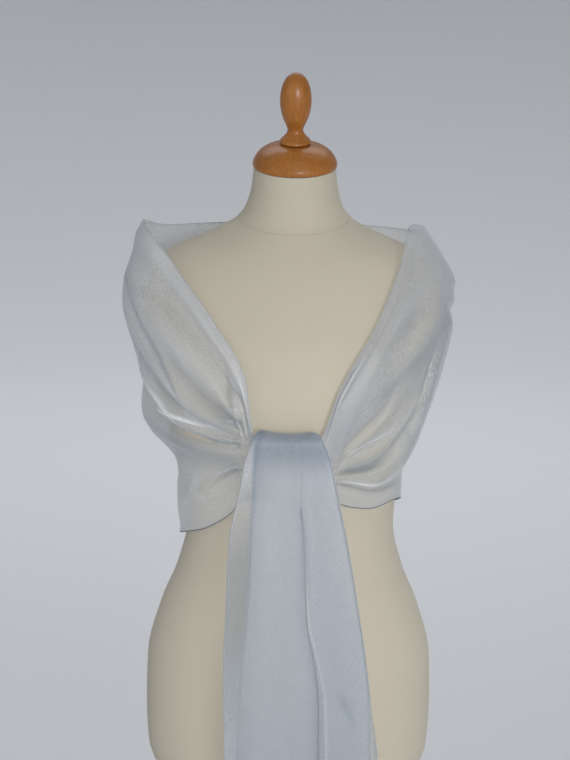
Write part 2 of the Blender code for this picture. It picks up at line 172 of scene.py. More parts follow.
def form_point(height, turn):
    """A point of the form at a turn in radians from its front, towards the left of the picture."""
    side, front, back, lean, tilt = (smooth(FORM["height"], FORM[name], height)
                                     for name in "side front back lean tilt".split())
    depth = np.where(np.cos(turn) > 0, front, back)
    along = -depth * np.cos(turn)
    return np.stack([-side * np.sin(turn), along - lean, height + along * np.tan(np.radians(tilt))], axis=-1)


def laid_out(points, widths, lengths, **values):
    """A bmesh grid on a grid of points, with a UV map in metres and the named value of each point."""
    shape = bmesh.new()
    columns, rows = points.shape[:2]
    bmesh.ops.create_grid(shape, x_segments=columns - 1, y_segments=rows - 1, size=0.5)
    uv = shape.loops.layers.uv.new("cloth")
    for vert in shape.verts:
        column = round((vert.co.x + 0.5) * (columns - 1))
        row = round((vert.co.y + 0.5) * (rows - 1))
        vert.co = points[column, row]
        for loop in vert.link_loops:
            loop[uv].uv = (widths[column], lengths[row])
    for name, numbers in values.items():
        layer = shape.verts.layers.float.new(name)
        for vert, number in zip(shape.verts, numbers.T.ravel()):
            vert[layer] = number
    return shape


def piece(name, shape, *materials):
    """The named object of a bmesh, smooth, with its materials, riding on the one body."""
    mesh = bpy.data.meshes.new(name)
    shape.to_mesh(mesh)
    shape.free()
    mesh.shade_smooth()
    made = bpy.data.objects.new(name, mesh)
    for material in materials:
        mesh.materials.append(material)
    bpy.context.scene.collection.objects.link(made)
    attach(made, "root")
    return made


def node(tree, kind, inputs=None, **settings):
    """A shader node with its settings, its inputs set to values or linked to other sockets."""
    made = tree.nodes.new(kind)
    for name, value in settings.items():
        setattr(made, name, value)
    for name, value in (inputs or {}).items():
        if isinstance(value, bpy.types.NodeSocket):
            tree.links.new(value, made.inputs[name])
        else:
            made.inputs[name].default_value = value
    return made


def surface(name):
    """A new material's node tree and its shader."""
    material = bpy.data.materials.new(name)
    material.use_nodes = True
    return material, material.node_tree, material.node_tree.nodes["Principled BSDF"]


def dress(tree, shader, **inputs):
    """Sets or links the shader's inputs, named with underscores for spaces."""
    for name, value in inputs.items():
        socket = shader.inputs[name.replace("_", " ")]
        if isinstance(value, bpy.types.NodeSocket):
            tree.links.new(value, socket)
        else:
            socket.default_value = value


def mixed(tree, share, low, high):
    """A colour between two, by a share from 0 to 1. Either is three numbers or a socket."""
    low, high = (end if isinstance(end, bpy.types.NodeSocket) else (*end, 1) for end in (low, high))
    return node(tree, "ShaderNodeMix", {0: share, 6: low, 7: high}, data_type="RGBA").outputs[2]


def maths(tree, operation, *values):
    """The result of an operation on values or sockets."""
    return node(tree, "ShaderNodeMath", dict(enumerate(values)), operation=operation).outputs[0]


def ranged(tree, value, low, high, to_low=0.0, to_high=1.0):
    """A value's range from low to high, stretched to fill another range."""
    return node(tree, "ShaderNodeMapRange", {"Value": value, "From Min": low, "From Max": high,
                                             "To Min": to_low, "To Max": to_high}).outputs[0]


RINGS_PER_ROW = 6
RING_POINTS = 121
MEAN_RADIUS = 0.15

jersey, tree, shader = surface("cream_jersey")
stitches = node(tree, "ShaderNodeUVMap", uv_map="cloth").outputs["UV"]
wales = node(tree, "ShaderNodeTexWave",
             {"Vector": stitches, "Scale": 260.0, "Distortion": 1.5, "Detail": 1.0}, bands_direction="X")
fuzz = node(tree, "ShaderNodeTexNoise", {"Vector": stitches, "Scale": 900.0, "Detail": 2.0})
cloud = node(tree, "ShaderNodeTexNoise", {"Vector": stitches, "Scale": 9.0, "Detail": 2.0})
knit = maths(tree, "MULTIPLY_ADD", wales.outputs["Fac"], 0.3, fuzz.outputs["Fac"])
knit_bump = node(tree, "ShaderNodeBump", {"Height": knit, "Strength": 0.25, "Distance": 0.0002})
cream = mixed(tree, cloud.outputs["Fac"], (0.600, 0.548, 0.440), (0.636, 0.583, 0.472))
dress(tree, shader, Base_Color=cream, Roughness=0.92, Sheen_Weight=0.15, Sheen_Roughness=0.6,
      Specular_IOR_Level=0.2, Normal=knit_bump.outputs["Normal"])

row_numbers = np.arange(len(FORM["height"]))
ring_heights = np.interp(np.arange(0, row_numbers[-1] + 1e-6, 1 / RINGS_PER_ROW), row_numbers, FORM["height"])
ring_turns = np.linspace(0, math.tau, RING_POINTS)
torso_points = np.array([form_point(ring_heights, turn) for turn in ring_turns])
torso_shape = laid_out(torso_points, ring_turns * MEAN_RADIUS, ring_heights)
bmesh.ops.remove_doubles(torso_shape, verts=torso_shape.verts[:], dist=SAME_PLACE)
bmesh.ops.holes_fill(torso_shape, edges=[edge for edge in torso_shape.edges if edge.is_boundary], sides=0)
bmesh.ops.recalc_face_normals(torso_shape, faces=torso_shape.faces[:])
torso = piece("torso_cover", torso_shape, jersey)
torso.data.set_sharp_from_angle(angle=math.radians(50))
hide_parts("form_torso")

# The jersey of the neck is sewn to that of the torso in one seam, which dips at the front.
SEAM_HEIGHT_SIDE = 1.3985
SEAM_HEIGHT_FRONT = 1.391
SEAM_HEIGHT_BACK = 1.402
SEAM_RADIUS = 0.0004


def cord_round(name, points, radius, material, closed=False):
    """A thin round cord through the points."""
    line = bpy.data.curves.new(name, "CURVE")
    line.dimensions = "3D"
    line.bevel_depth = radius
    line.bevel_resolution = 2
    line.use_fill_caps = not closed
    spline = line.splines.new("POLY")
    spline.points.add(len(points) - 1)
    spline.points.foreach_set("co", np.c_[points, np.ones(len(points))].ravel())
    spline.use_cyclic_u = closed
    made = bpy.data.objects.new(name, line)
    line.materials.append(material)
    bpy.context.scene.collection.objects.link(made)
    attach(made, "root")
    return made


seam_turns = np.linspace(0, math.tau, 97)[:-1]
seam_heights = SEAM_HEIGHT_SIDE + np.where(np.cos(seam_turns) > 0, SEAM_HEIGHT_FRONT - SEAM_HEIGHT_SIDE,
                                           SEAM_HEIGHT_BACK - SEAM_HEIGHT_SIDE) * np.cos(seam_turns) ** 2
seam_thread, tree, shader = surface("seam_thread")
twist = node(tree, "ShaderNodeTexNoise", {"Scale": 1500.0})
dress(tree, shader, Base_Color=mixed(tree, twist.outputs["Fac"], (0.53, 0.475, 0.385), (0.58, 0.525, 0.43)),
      Roughness=0.9)
neck_seam = cord_round("neck_seam", form_point(seam_heights, seam_turns), SEAM_RADIUS, seam_thread,
                       closed=True)

# The cap and finial are turned beech, stained orange-brown and varnished. They stand square on the
# tilted top of the neck.
CAP_OUTLINE = ((0.0, 0.0), (0.0480, 0.0), (0.0492, 0.0004), (0.0495, 0.0016), (0.0495, 0.0052),
               (0.0490, 0.0066), (0.0478, 0.0092), (0.0445, 0.0150), (0.0385, 0.0205), (0.0300, 0.0248),
               (0.0205, 0.0268), (0.0, 0.0272))
FINIAL_OUTLINE = ((0.0, 0.0), (0.0175, 0.0), (0.0183, 0.0006), (0.0184, 0.0024), (0.0172, 0.0046),
                  (0.0140, 0.0078), (0.0108, 0.0108), (0.0092, 0.0140), (0.0090, 0.0168), (0.0104, 0.0205),
                  (0.0140, 0.0275), (0.0172, 0.0370), (0.0186, 0.0480), (0.0180, 0.0590), (0.0155, 0.0690),
                  (0.0115, 0.0765), (0.0060, 0.0812), (0.0, 0.0826))
NECK_TILT = math.radians(12.0)
NECK_TOP = Vector((0.0, -0.013, 1.458))
GAP = 0.0003


def turned(outline, segments=48):
    """A solid of revolution about +Z from an outline of (radius, height), on the axis at both ends."""
    shape = bmesh.new()
    verts = [shape.verts.new((radius, 0.0, height)) for radius, height in outline]
    edges = [shape.edges.new(pair) for pair in zip(verts, verts[1:])]
    bmesh.ops.spin(shape, geom=verts + edges, cent=(0, 0, 0), axis=(0, 0, 1), angle=math.tau,
                   steps=segments, use_merge=True)
    bmesh.ops.remove_doubles(shape, verts=shape.verts[:], dist=SAME_PLACE)
    bmesh.ops.recalc_face_normals(shape, faces=shape.faces[:])
    return shape


beech, tree, shader = surface("varnished_beech")
place = node(tree, "ShaderNodeTexCoord").outputs["Object"]
upright = node(tree, "ShaderNodeMapping", {"Vector": place, "Rotation": (-NECK_TILT, 0.0, 0.0)}).outputs[0]
along_grain = node(tree, "ShaderNodeMapping", {"Vector": upright, "Scale": (90.0, 90.0, 7.0)}).outputs[0]
grain = node(tree, "ShaderNodeTexNoise",
             {"Vector": along_grain, "Scale": 4.0, "Detail": 5.0, "Distortion": 0.3}).outputs["Fac"]
figure = node(tree, "ShaderNodeTexNoise", {"Vector": upright, "Scale": 28.0, "Detail": 2.0}).outputs["Fac"]
tone = ranged(tree, maths(tree, "MULTIPLY", grain, figure), 0.12, 0.42)
grain_bump = node(tree, "ShaderNodeBump", {"Height": grain, "Strength": 0.05, "Distance": 0.0003})
dress(tree, shader, Base_Color=mixed(tree, tone, (0.35, 0.117, 0.012), (0.49, 0.185, 0.026)),
      Roughness=0.45, Coat_Weight=0.3, Coat_Roughness=0.12, Normal=grain_bump.outputs["Normal"])

lift = GAP
for name, outline, replaced in (("turned_cap", CAP_OUTLINE, "neck_cap"),
                                ("turned_finial", FINIAL_OUTLINE, "cap_finial")):
    shape = turned(outline)
    bmesh.ops.translate(shape, verts=shape.verts[:], vec=(0.0, 0.0, lift))
    bmesh.ops.rotate(shape, verts=shape.verts[:], cent=(0, 0, 0), matrix=Matrix.Rotation(NECK_TILT, 3, "X"))
    bmesh.ops.translate(shape, verts=shape.verts[:], vec=NECK_TOP)
    wood = piece(name, shape, beech)
    subdivision = wood.modifiers.new("rounding", "SUBSURF")
    subdivision.levels = subdivision.render_levels = 2
    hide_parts(replaced)
    lift += outline[-1][1] + GAP

# The stand is a grey painted steel pole with a plate under the torso, on a heavy round base.
BASE_OUTLINE = ((0.0, 0.0), (0.1600, 0.0), (0.1640, 0.0008), (0.1650, 0.0030), (0.1650, 0.0110),
                (0.1640, 0.0140), (0.1600, 0.0160), (0.0900, 0.0182), (0.0330, 0.0200), (0.0260, 0.0215),
                (0.0235, 0.0250), (0.0220, 0.0410), (0.0212, 0.0434), (0.0195, 0.0440), (0.0, 0.0440))
POLE_OUTLINE = ((0.0, 0.0443), (0.0125, 0.0443), (0.0125, 0.0450), (0.0125, 0.6900), (0.0135, 0.6950),
                (0.0170, 0.7035), (0.0200, 0.7062), (0.0440, 0.7067), (0.0450, 0.7075), (0.0450, 0.7140),
                (0.0440, 0.7147), (0.0, 0.7147))
paint, tree, shader = surface("grey_paint")
place = node(tree, "ShaderNodeTexCoord").outputs["Object"]
orange_peel = node(tree, "ShaderNodeTexNoise", {"Vector": place, "Scale": 420.0, "Detail": 1.0})
smudges = node(tree, "ShaderNodeTexNoise", {"Vector": place, "Scale": 14.0, "Detail": 3.0}).outputs["Fac"]
gloss = ranged(tree, smudges, 0.0, 1.0, 0.36, 0.52)
peel_bump = node(tree, "ShaderNodeBump",
                 {"Height": orange_peel.outputs["Fac"], "Strength": 0.08, "Distance": 0.0003})
dress(tree, shader, Base_Color=mixed(tree, smudges, (0.25, 0.26, 0.28), (0.30, 0.31, 0.33)),
      Roughness=gloss, Normal=peel_bump.outputs["Normal"])
for name, outline, replaced in (("round_base", BASE_OUTLINE, "stand_base"),
                                ("steel_pole", POLE_OUTLINE, "stand_pole")):
    metal = piece(name, turned(outline, 64), paint)
    metal.data.set_sharp_from_angle(angle=math.radians(35))
    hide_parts(replaced)

# The shawl is one rectangle of sheer silver-blue organza. This stretch of it goes from its gathered
# end at the left front, round the left shoulder tip, the upper back and the right shoulder tip, to
# its gathered end at the right front. It lies on a tube that is the form's own below the shoulders
# and goes on up above them.
TUBE = table(
    "height side front back",
    *[(FORM["height"][k], FORM["side"][k], FORM["front"][k], FORM["back"][k]) for k in range(5, 13)],
    (1.360, 0.1550, 0.086, 0.100),
    (1.400, 0.1300, 0.078, 0.088),
)

# A station is a curve across the cloth from its upper edge to its hem. Turns are degrees from the
# front, heights are metres, and bow below 1 swings the upper part of the curve to the hem's turn.
STATIONS = {
    "left": table(
        "top_turn top hem_turn hem bow",
        (3.0, 1.156, 6.0, 1.083, 1.0),
        (14.6, 1.160, 22.0, 1.079, 0.4),
        (17.5, 1.228, 33.0, 1.055, 1.0),
        (30.9, 1.295, 50.0, 1.032, 1.0),
        (50.0, 1.342, 66.0, 1.021, 1.0),
        (88.0, 1.392, 88.0, 1.008, 1.0),
        (125.0, 1.379, 122.0, 0.995, 1.0),
        (180.0, 1.381, 180.0, 0.985, 1.0),
    ),
    "right": table(
        "top_turn top hem_turn hem bow",
        (2.0, 1.156, 5.0, 1.083, 1.0),
        (10.9, 1.160, 20.0, 1.078, 0.5),
        (18.0, 1.218, 31.0, 1.069, 1.0),
        (28.3, 1.274, 46.0, 1.063, 1.0),
        (43.0, 1.340, 62.0, 1.066, 1.0),
        (72.0, 1.393, 86.0, 1.056, 1.0),
        (125.0, 1.377, 122.0, 1.032, 1.0),
        (180.0, 1.381, 180.0, 0.985, 1.0),
    ),
}

# Each row is a line of the cloth that runs round the body from the front gather to the middle of
# the back, a crest or a trough between the upper edge and the hem. Down says how far down the
# cloth it lies at a station, as a share of the way. Off says how far it stands off the tube, in mm.
FOLDS = {
    "left": table(
        "down1 down2 down3 down4 down5 down6 down7 off1 off2 off3 off4 off5 off6 off7",
        (0.000, 0.000, 0.000, 0.000, 0.000, 0.00, 0.00, 10.5, 9, 8, 10, 44, 30, 6),
        (0.010, 0.055, 0.045, 0.035, 0.030, 0.05, 0.06, 11.5, 13, 12, 13, 43, 31, 7),
        (0.025, 0.170, 0.140, 0.120, 0.080, 0.12, 0.12, 10.5, 7, 7, 9, 36, 28, 2.4),
        (0.045, 0.260, 0.218, 0.197, 0.120, 0.18, 0.19, 11.8, 15, 18, 19, 32, 28, 10),
        (0.065, 0.310, 0.327, 0.280, 0.170, 0.24, 0.26, 11.2, 12, 15, 18, 30, 26, 8),
        (0.085, 0.350, 0.410, 0.360, 0.230, 0.30, 0.34, 11.8, 14, 18, 20, 28, 26, 15),
        (0.107, 0.391, 0.455, 0.440, 0.310, 0.37, 0.42, 10.8, 9, 11, 13, 24, 23, 11),
        (0.132, 0.418, 0.505, 0.520, 0.420, 0.45, 0.50, 12.5, 16, 19, 20, 16, 20, 19),
        (0.180, 0.460, 0.545, 0.565, 0.480, 0.52, 0.58, 9.5, 8, 7, 7, 14, 14, 14),
        (0.280, 0.510, 0.590, 0.615, 0.610, 0.62, 0.66, 12.0, 13, 14, 17, 26, 26, 22),
        (0.380, 0.565, 0.670, 0.680, 0.760, 0.72, 0.74, 9.5, 8, 7, 6, 2.1, 12, 19),
        (0.480, 0.659, 0.751, 0.804, 0.840, 0.81, 0.83, 8.5, 7, 8, 8, 9, 14, 23),
        (0.760, 0.826, 0.836, 0.880, 0.920, 0.91, 0.92, 10.5, 11, 12, 12, 11, 16, 28),
        (1.000, 1.000, 1.000, 1.000, 1.000, 1.00, 1.00, 8.5, 6, 6, 6, 7, 12, 27),
    ),
    "right": table(
        "down1 down2 down3 down4 down5 down6 down7 off1 off2 off3 off4 off5 off6 off7",
        (0.000, 0.000, 0.000, 0.000, 0.000, 0.00, 0.00, 10.5, 9, 9, 9, 12, 22, 6),
        (0.020, 0.050, 0.035, 0.035, 0.030, 0.05, 0.06, 11.5, 13, 13, 12, 15, 22, 7),
        (0.050, 0.099, 0.080, 0.065, 0.060, 0.10, 0.12, 10.5, 10, 10, 10, 16, 21, 2.4),
        (0.158, 0.269, 0.170, 0.110, 0.100, 0.16, 0.19, 12.0, 13, 13, 13, 18, 22, 10),
        (0.404, 0.450, 0.420, 0.220, 0.140, 0.21, 0.26, 11.5, 12, 13, 13, 20, 22, 8),
        (0.444, 0.500, 0.460, 0.370, 0.170, 0.26, 0.34, 12.3, 14, 15, 16, 20, 23, 15),
        (0.478, 0.547, 0.554, 0.469, 0.200, 0.31, 0.42, 11.3, 11, 11, 13, 17, 20, 11),
        (0.515, 0.606, 0.621, 0.550, 0.230, 0.37, 0.50, 12.0, 13, 14, 15, 14, 19, 19),
        (0.553, 0.668, 0.698, 0.643, 0.270, 0.43, 0.58, 10.0, 7, 7, 7, 9, 14, 14),
        (0.605, 0.715, 0.755, 0.740, 0.370, 0.54, 0.66, 12.5, 15, 17, 18, 16, 20, 22),
        (0.652, 0.775, 0.825, 0.840, 0.800, 0.72, 0.74, 12.5, 15, 15, 12, 6, 14, 19),
        (0.737, 0.846, 0.880, 0.890, 0.880, 0.83, 0.83, 8.5, 7, 6, 5, 2.1, 12, 23),
        (0.874, 0.915, 0.930, 0.945, 0.940, 0.92, 0.92, 10.0, 9, 9, 8, 5, 13, 28),
        (1.000, 1.000, 1.000, 1.000, 1.000, 1.00, 1.00, 8.5, 8, 8, 8, 7, 12, 27),
    ),
}
# How far down inside the cloth its upper edge is turned in at each station, as a share of the way,
# and how much the turned-in edge hides there, against the cloth outside it.
TURNED_IN = {
    "left": np.array([0.03, 0.05, 0.10, 0.090, 0.080, 0.012, 0.010, 0.01]),
    "right": np.array([0.35, 0.46, 0.44, 0.39, 0.24, 0.015, 0.010, 0.01]),
}
TURNED_COVER = {
    "left": np.array([1.0, 1.0, 1.2, 1.2, 1.2, 0.4, 0.3, 0.3]),
    "right": np.array([2.0, 1.9, 1.4, 0.7, 0.4, 0.4, 0.3, 0.3]),
}
TURNED_FADE = 0.30
TURNED_GAP = 0.0030
GAP_RATE = 12
BACK_STATION = 7
HIDDEN_END_OFF = 13.0
CLEAR_OF_FORM = 0.0009
STATION_LENGTH = 0.075
WORN_WIDTH = 0.30
CLOTH_THICKNESS = 0.0004

# The smaller creases, from one station to another. Down says how far down the cloth a crease lies
# at its start, middle and end, and width how wide one side of it is, as shares of the way. Rise is
# its height in mm, below 0 for a trough, and lip makes its lower side that much steeper. Dense says
# how much closer the threads lie in it, and where they lie closest the colour is also painted whiter,
# as a highlight on the fold. The last column is painted shade, darker in the troughs and fold lines,
# and below 0 paler, as a painted highlight. The widest rows have little or no height and only paint
# shade over a stretch of the wing, over most of the right one.
CREASES = {
    "left": table(
        "start end down_start down_middle down_end width rise lip dense deep",
        (0.3, 6.2, 0.300, 0.300, 0.300, 0.400, 0.0, 0.0, 0.25, 0.16),
        (0.4, 3.3, 0.300, 0.330, 0.400, 0.170, 0.0, 0.0, 0.00, 0.34),
        (2.0, 4.7, 0.080, 0.040, 0.022, 0.022, 1.2, 0.0, 0.5, 0.0),
        (2.1, 4.4, 0.180, 0.145, 0.130, 0.022, -0.8, 0.0, -0.2, 0.35),
        (2.5, 4.4, 0.260, 0.240, 0.215, 0.055, 1.5, 0.0, 0.6, 0.0),
        (1.6, 3.8, 0.270, 0.335, 0.260, 0.040, -2.4, 0.0, -0.1, 0.50),
        (2.2, 4.2, 0.400, 0.435, 0.330, 0.026, 1.8, 0.0, 0.9, 0.1),
        (3.2, 5.0, 0.470, 0.300, 0.120, 0.028, -2.6, 0.5, 0.6, 0.5),
        (3.3, 4.8, 0.460, 0.430, 0.330, 0.028, -1.0, 0.0, 0.1, 0.5),
        (1.5, 4.5, 0.300, 0.475, 0.490, 0.012, 2.6, 2.0, 0.7, 0.0),
        (2.7, 4.8, 0.462, 0.506, 0.548, 0.009, 0.8, 1.0, 1.7, 0.0),
        (3.5, 5.5, 0.524, 0.465, 0.415, 0.011, 2.6, 1.5, 2.2, 0.0),
        (1.2, 3.3, 0.255, 0.475, 0.515, 0.016, -2.4, 0.0, 0.9, 0.8),
        (2.45, 4.05, 0.512, 0.555, 0.575, 0.013, -0.5, 0.0, -1.4, 0.0),
        (0.9, 5.0, 0.560, 0.615, 0.640, 0.085, 0.4, 0.0, 0.3, 0.70),
        (-1.0, 1.6, 0.850, 0.850, 0.850, 0.350, 0.0, 0.0, -1.2, -0.3),
        (0.8, 2.7, 0.470, 0.600, 0.740, 0.016, 2.6, 4.0, 1.4, 0.0),
        (1.0, 2.9, 0.510, 0.655, 0.790, 0.020, -1.6, 0.0, -0.1, 0.5),
        (3.0, 4.0, 0.740, 0.790, 0.860, 0.040, 1.3, 0.0, 0.8, 0.0),
        (2.8, 3.9, 0.840, 0.830, 0.800, 0.016, 1.1, 0.0, 0.5, 0.0),
        (2.6, 3.7, 0.740, 0.760, 0.800, 0.018, -1.1, 0.0, -0.2, 0.0),
        (1.2, 2.5, 0.020, 0.050, 0.110, 0.030, 2.2, 1.0, 0.3, 0.0),
        (1.3, 2.5, 0.070, 0.130, 0.190, 0.022, -2.4, 0.0, -0.2, 0.3),
        (1.55, 2.42, 0.050, 0.080, 0.120, 0.060, 0.0, 0.0, 0.9, 0.0),
        (1.95, 2.42, 0.225, 0.185, 0.085, 0.018, 1.2, 0.0, 0.4, 0.0),
        (2.02, 2.52, 0.255, 0.215, 0.110, 0.024, -0.8, 0.0, 0.2, 0.6),
        (0.9, 2.3, 0.030, 0.170, 0.360, 0.018, -2.4, 0.0, 0.6, 0.8),
        (1.1, 2.4, 0.050, 0.150, 0.315, 0.014, 1.7, 1.0, 0.8, 0.0),
        (1.1, 2.7, 0.130, 0.280, 0.410, 0.026, 1.6, 0.0, 0.8, 0.0),
        (1.0, 1.8, 0.010, 0.025, 0.060, 0.012, -1.5, 0.0, 0.6, 0.8),
        (4.4, 6.9, 0.060, 0.060, 0.060, 0.220, 0.0, 0.0, 0.1, 0.40),
        (4.9, 6.6, 0.130, 0.220, 0.200, 0.022, -1.6, 0.0, 0.4, 0.5),
        (5.2, 6.9, 0.420, 0.400, 0.330, 0.018, 1.6, 1.0, 0.8, 0.0),
        (4.6, 6.2, 0.700, 0.640, 0.660, 0.022, 1.8, 1.0, 0.8, 0.0),
        (5.4, 6.8, 0.790, 0.780, 0.850, 0.024, -1.7, 0.0, 0.3, 0.4),
    ),
    "right": table(
        "start end down_start down_middle down_end width rise lip dense deep",
        (0.3, 6.2, 0.350, 0.400, 0.400, 0.700, 0.0, 0.0, 0.25, 0.61),
        (2.6, 5.2, 0.380, 0.340, 0.320, 0.120, 0.0, 0.0, 0.20, 0.14),
        (5.0, 6.9, 0.060, 0.060, 0.060, 0.200, 0.0, 0.0, -0.3, 0.0),
        (1.0, 2.6, 0.020, 0.018, 0.012, 0.009, -1.4, 0.0, -0.3, 0.4),
        (1.0, 2.8, 0.045, 0.036, 0.026, 0.012, 1.5, 0.0, 1.1, -0.3),
        (3.3, 4.7, 0.100, 0.110, 0.140, 0.030, 1.7, 0.0, 0.5, 0.0),
        (3.1, 4.4, 0.160, 0.170, 0.210, 0.035, -1.4, 0.0, 0.1, 0.2),
        (3.4, 4.9, 0.250, 0.260, 0.240, 0.060, 0.8, 0.0, -0.25, -0.1),
        (2.8, 4.4, 0.330, 0.360, 0.340, 0.030, -1.0, 0.0, 0.4, 0.3),
        (1.0, 3.7, 0.460, 0.415, 0.405, 0.018, -1.4, 0.0, -0.2, 0.3),
        (1.7, 3.7, 0.485, 0.470, 0.500, 0.026, 0.5, 0.0, -0.55, 0.0),
        (1.0, 3.6, 0.520, 0.525, 0.600, 0.013, 2.2, 2.0, 1.4, -0.2),
        (1.7, 3.8, 0.600, 0.615, 0.650, 0.028, -0.5, 0.0, -0.5, 0.0),
        (1.1, 4.5, 0.550, 0.710, 0.560, 0.016, -2.2, 0.0, 0.6, 0.8),
        (3.3, 4.6, 0.630, 0.550, 0.460, 0.016, 0.8, 1.0, 0.5, -0.2),
        (4.0, 5.4, 0.550, 0.380, 0.200, 0.026, -1.6, 0.0, 0.2, 0.2),
        (3.5, 4.8, 0.700, 0.670, 0.520, 0.026, 0.8, 0.0, 0.5, 0.1),
        (1.6, 4.0, 0.700, 0.790, 0.790, 0.030, 0.0, 0.0, -0.4, 0.0),
        (0.9, 4.6, 0.630, 0.840, 0.890, 0.017, 2.6, 3.0, 1.6, -0.3),
        (0.9, 4.4, 0.665, 0.872, 0.920, 0.013, -2.2, 0.0, 0.2, 0.7),
        (1.1, 2.4, 0.330, 0.300, 0.260, 0.040, 1.0, 0.0, 0.4, 0.0),
        (4.7, 6.4, 0.300, 0.260, 0.220, 0.020, 1.7, 1.0, 0.8, 0.0),
        (5.1, 6.8, 0.470, 0.500, 0.520, 0.022, -1.6, 0.0, 0.4, 0.5),
        (5.4, 6.9, 0.620, 0.650, 0.600, 0.018, 1.5, 1.0, 0.8, 0.0),
        (4.7, 6.1, 0.800, 0.760, 0.790, 0.022, -1.7, 0.0, 0.3, 0.4),
    ),
}


CREASE_FADE = 0.7
WAVER = 0.2
WAVER_RATE = 9.0
WAVER_SHIFT = 2.3
LEAST_LAYERS = 0.05
MOST_LAYERS = 3.0


def small_creases(side, station, share):
    """How far the small creases lift the cloth there, in mm, how dense it lies and how much shade is
    painted into its colour there. Each one fades towards its ends and wavers a little on its way."""
    effect = np.zeros((3, len(share)))
    for row, (start, end, down_start, down_middle, down_end, width, rise, lip, dense, deep) in enumerate(
            zip(*CREASES[side].values())):
        way = (station - start) / (end - start)
        if 0 < way < 1:
            line = down_start + (4 * down_middle - 3 * down_start - down_end) * way \
                + 2 * (down_start + down_end - 2 * down_middle) * way * way
            fade = math.sin(math.pi * way) ** CREASE_FADE
            fade *= 1 + WAVER * math.sin(WAVER_RATE * way + WAVER_SHIFT * row)
            aside = (share - line) / width
            aside = np.where(aside > 0, aside * (1 + lip), aside)
            effect += np.outer((rise, dense, deep), fade * np.exp(-aside ** 2))
    return effect


def cloth_row(side, station, down):
    """The share down the cloth, the way off the tube, the layers and the painted shade across it."""
    folds = FOLDS[side]
    number = np.arange(BACK_STATION + 1)
    shares, offs = [], []
    for line in range(len(folds["down1"])):
        share = [folds[f"down{k}"][line] for k in number[1:]]
        off = [folds[f"off{k}"][line] for k in number[1:]]
        shares.append(smooth(number, np.array([share[0], *share]), station))
        offs.append(smooth(number, np.array([HIDDEN_END_OFF, *off]), station))
    lines = np.arange(len(shares))
    shares, offs = np.array(shares), np.array(offs)
    inside = np.clip(-down, 0, 1)
    turned_to = inside * smooth(number, TURNED_IN[side], station)
    line = np.where(down < 0, np.interp(turned_to, shares, lines), down * lines[-1])
    share = smooth(lines, shares, line)
    lift, dense, deep = small_creases(side, station, share)
    off = (smooth(lines, offs, line) + lift) / 1000
    off = np.where(down < 0, off - TURNED_GAP * np.clip(inside * GAP_RATE, 0, 1) ** 0.5, off)
    turned_cover = smooth(number, TURNED_COVER[side], station) * np.clip((1 - inside) / TURNED_FADE, 0, 1)
    layers = np.clip(np.where(down < 0, turned_cover, 1 + dense), LEAST_LAYERS, MOST_LAYERS)
    return share, np.maximum(off, CLEAR_OF_FORM), layers, np.clip(deep, 0, 1)


def across_the_cloth(side, station, down):
    """Points of one wing across the cloth, at places from 0, its top, to 1, its hem, with its layers
    and its painted shade. Places below 0 are on the turned-in edge, which ends at -1.
    """
    number = np.arange(BACK_STATION + 1)
    top_turn, top, hem_turn, hem, bow = (smooth(number, column, station)
                                         for column in STATIONS[side].values())
    share, off, layers, deep = cloth_row(side, station, down)
    height = top + (hem - top) * share
    turn = np.radians(top_turn + (hem_turn - top_turn) * np.clip(share, 0, 1) ** bow)
    reach, front, back = (smooth(TUBE["height"], TUBE[name], height) + off
                          for name in ("side", "front", "back"))
    depth = np.where(np.cos(turn) > 0, front, back)
    sign = -1 if side == "left" else 1
    return np.stack([sign * reach * np.sin(turn), -depth * np.cos(turn), height, layers, deep], axis=-1)


def stepped(start, *stops):
    """Places from a start through stops, each stop given with its number of even steps."""
    places = [start]
    for stop, count in stops:
        places.extend(np.linspace(places[-1], stop, count + 1)[1:])
    return np.array(places)


EDGE_COVER = 0.38
FACES_SEEN_THROUGH = 6.5
LIGHT_STOPPED = 0.25


def organza(name, wall_cover, tone_and_shade_colour, sparkle):
    """Sheer plain-woven cloth with a shimmer. Wall cover is how much one face of it hides, the
    shade colour is the one painted as shade into its folds and troughs and, on the tail, the tone of
    its layers, and sparkle how bright the glints painted on its single threads are. It hides more
    where it is seen edge on, and stops a quarter as much of the light as of the view."""
    made, tree, shader = surface(name)
    threads = node(tree, "ShaderNodeGroup", {"Deep Color": (*tone_and_shade_colour, 1), "Sparkle": sparkle},
                   node_tree=organza_threads).outputs
    edge_on = node(tree, "ShaderNodeLayerWeight", {"Blend": 0.35}).outputs["Facing"]
    thicker = maths(tree, "MULTIPLY_ADD", edge_on, EDGE_COVER, wall_cover)
    woven = maths(tree, "MULTIPLY", thicker, threads["Cover"])
    seen_through = node(tree, "ShaderNodeLightPath").outputs["Transparent Depth"]
    far_in = maths(tree, "GREATER_THAN", seen_through, FACES_SEEN_THROUGH)
    cover = maths(tree, "MAXIMUM", woven, far_in)
    looked_at = node(tree, "ShaderNodeLightPath").outputs["Is Camera Ray"]
    stopped = maths(tree, "MULTIPLY_ADD", looked_at, 1 - LIGHT_STOPPED, LIGHT_STOPPED)
    dress(tree, shader, Base_Color=threads["Color"], Metallic=threads["Glint"],
          Roughness=threads["Roughness"], Alpha=maths(tree, "MULTIPLY", cover, stopped), Sheen_Weight=0.45,
          Sheen_Roughness=0.45, Sheen_Tint=(0.90, 0.95, 1.0, 1), Normal=threads["Normal"])
    return made


